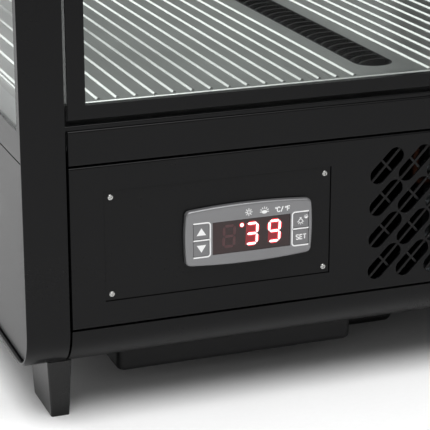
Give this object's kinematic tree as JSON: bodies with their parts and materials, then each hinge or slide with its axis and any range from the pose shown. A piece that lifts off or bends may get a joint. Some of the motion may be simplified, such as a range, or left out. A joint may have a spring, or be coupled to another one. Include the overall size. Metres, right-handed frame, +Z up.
{
  "type": "countertop refrigerated display case",
  "caption": "Glazed countertop refrigerated display case with a swing door, wire shelves, a ribbed deck and a front digital thermostat.",
  "frame": {"origin": "on the counter, midway across the whole object, door handle and cable gland included", "axes": "+Z up, front towards -Y, +X to the right seen from the front"},
  "size_m": [0.445, 0.436, 0.81],
  "materials": {
    "black_coat": "semi-gloss powder coat",
    "black_plastic": "moulded, satin",
    "clear_glass": "polished",
    "deck_steel": "brushed, ribbed",
    "chrome_wire": "bright plated",
    "silver_plastic": "silver lacquered ABS",
    "display_tint": "tinted acrylic",
    "button_film": "printed membrane",
    "gasket_rubber": "soft PVC",
    "foam_liner": "white liner over foam",
    "fin_aluminium": "mill finish fins",
    "copper_line": "drawn copper",
    "machine_black": "black enamel",
    "light_lens": "opal polycarbonate",
    "bright_screw": "zinc plated",
    "circuit_board": "solder mask"
  },
  "bodies": {
    "cabinet": {"base_pan": "machine_black", "cable_gland": "black_plastic", "ceiling_panel": "foam_liner", "compressor": "machine_black", "compressor_pan": "machine_black", "condenser": "fin_aluminium", "condenser_fan_motor": "black_plastic", "control_plate": "black_coat", "deck_plate": "deck_steel", "display_board": "circuit_board", "display_window": "display_tint", "door_sill": "black_coat", "electrical_box": "black_plastic", "end_frame_left": "black_coat", "end_frame_right": "black_coat", "evaporator": "fin_aluminium", "evaporator_fan_motor": "black_plastic", "fan_shroud": "machine_black", "fascia_strip": "black_coat", "feet": "black_plastic", "front_panel": "black_coat", "front_rail": "black_coat", "grille_guard": "machine_black", "hinge_pins": "bright_screw", "insulated_tub": "foam_liner", "light_bar": "fin_aluminium", "light_diffuser": "light_lens", "plate_screws": "bright_screw", "rear_frame": "black_coat", "rear_glass": "clear_glass", "rear_panel": "black_coat", "rear_rail": "black_coat", "refrigerant_lines": "copper_line", "shelf_clips": "chrome_wire", "shelf_standards": "chrome_wire", "side_glass_left": "clear_glass", "side_glass_right": "clear_glass", "side_panel_left": "black_coat", "side_panel_right": "black_coat", "side_trim_left": "black_coat", "side_trim_right": "black_coat", "thermostat_bezel": "silver_plastic", "thermostat_case": "black_plastic", "top_cover": "black_coat", "tray_rails": "machine_black", "vent_grille": "black_plastic"},
    "door": {"door_frame": "black_coat", "door_glass": "clear_glass", "door_gasket": "gasket_rubber", "door_handle": "black_coat", "hinge_bushes": "black_plastic"},
    "up_key": {"button_up": "button_film"},
    "down_key": {"button_down": "button_film"},
    "light_key": {"button_light": "button_film"},
    "set_key": {"button_set": "button_film"},
    "condenser_fan_rotor": {"condenser_fan": "black_plastic"},
    "evaporator_fan_rotor": {"evaporator_fan": "black_plastic"},
    "tray": {"drip_tray": "black_plastic"},
    "lower_shelf": {"shelf_lower": "chrome_wire"},
    "upper_shelf": {"shelf_upper": "chrome_wire"}
  },
  "joints": [
    {"name": "door_swing", "type": "hinge", "parent": "cabinet", "child": "door", "pos_m": [0.1918, -0.1852, 0.47], "axis": [0, 0, 1], "range_deg": [0, 95]},
    {"name": "up_press", "type": "slide", "parent": "cabinet", "child": "up_key", "axis": [0, 1, 0], "range_m": [0, 0.0005], "stiffness_N_per_m": 900},
    {"name": "down_press", "type": "slide", "parent": "cabinet", "child": "down_key", "axis": [0, 1, 0], "range_m": [0, 0.0005], "stiffness_N_per_m": 900},
    {"name": "light_press", "type": "slide", "parent": "cabinet", "child": "light_key", "axis": [0, 1, 0], "range_m": [0, 0.0005], "stiffness_N_per_m": 900},
    {"name": "set_press", "type": "slide", "parent": "cabinet", "child": "set_key", "axis": [0, 1, 0], "range_m": [0, 0.0005], "stiffness_N_per_m": 900},
    {"name": "condenser_fan_spin", "type": "hinge", "parent": "cabinet", "child": "condenser_fan_rotor", "pos_m": [0.1035, -0.126, 0.0782], "axis": [0, -1, 0], "continuous": true},
    {"name": "evaporator_fan_spin", "type": "hinge", "parent": "cabinet", "child": "evaporator_fan_rotor", "pos_m": [0.1175, 0.132, 0.13], "axis": [0, 0, 1], "continuous": true},
    {"name": "tray_pull", "type": "slide", "parent": "cabinet", "child": "tray", "axis": [0, -1, 0], "range_m": [0, 0.045]},
    {"name": "lower_shelf_lift", "type": "slide", "parent": "cabinet", "child": "lower_shelf", "axis": [0, 0, 1], "range_m": [0, 0.02]},
    {"name": "upper_shelf_lift", "type": "slide", "parent": "cabinet", "child": "upper_shelf", "axis": [0, 0, 1], "range_m": [0, 0.02]}
  ]
}
